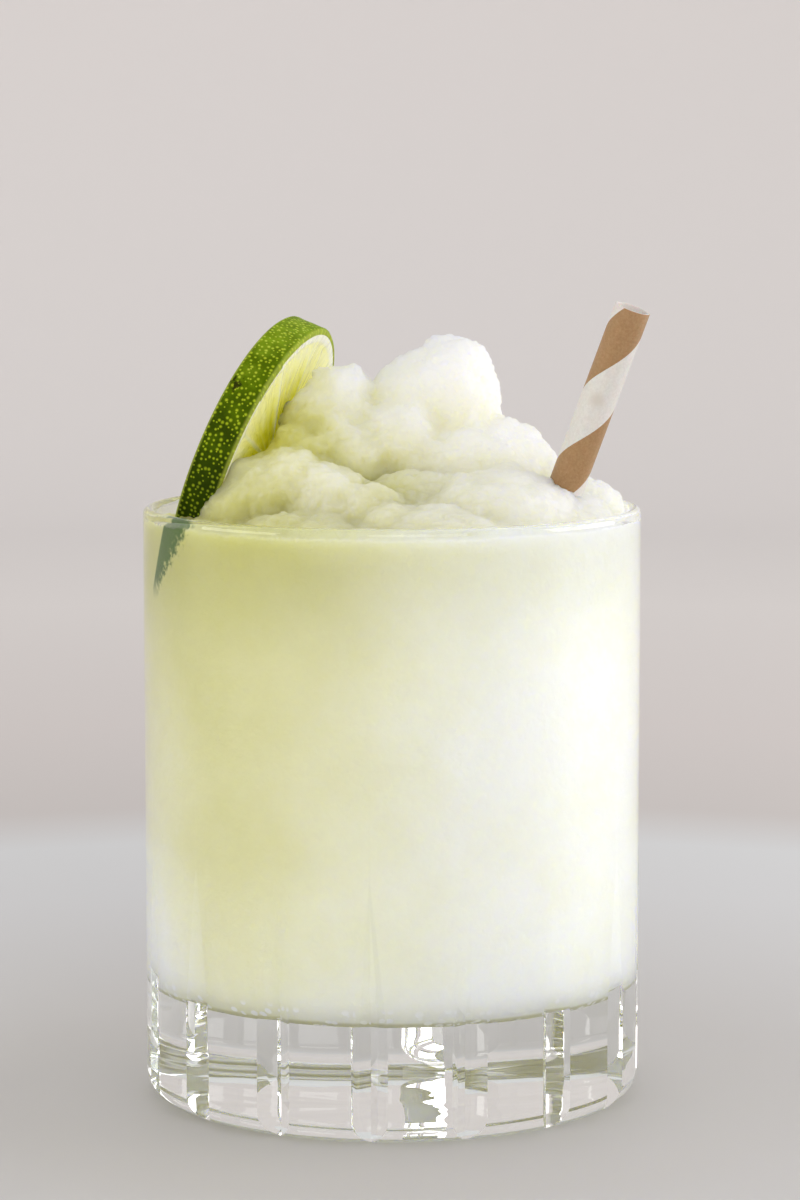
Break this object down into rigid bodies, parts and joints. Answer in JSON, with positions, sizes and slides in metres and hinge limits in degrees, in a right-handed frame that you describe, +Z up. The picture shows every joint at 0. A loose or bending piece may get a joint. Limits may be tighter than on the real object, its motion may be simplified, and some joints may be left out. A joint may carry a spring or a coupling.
{
  "type": "frozen gin and tonic in a tumbler",
  "caption": "Frozen citrus slush heaped over the rim of a straight cut-base glass tumbler, with a lime wheel and a striped paper straw leaning in it",
  "frame": {"origin": "centre of the tumbler's flat foot, on its underside", "axes": "+Z up along the tumbler's axis, -Y toward the drinker, with the lime toward -X and the straw leaning toward +X"},
  "size_m": [0.0835, 0.083, 0.1336],
  "materials": {
    "crystal": "clear polished, pressed and mitre cut",
    "slush": "moist granular ice, pale green yellow",
    "lime": "waxy green peel and wet cut flesh",
    "paper": "uncoated, kraft brown and white spiral stripe"
  },
  "bodies": {
    "root": {"glass_tumbler": "crystal", "frozen_drink": "slush", "lime_slice": "lime", "paper_straw": "paper"}
  },
  "joints": []
}
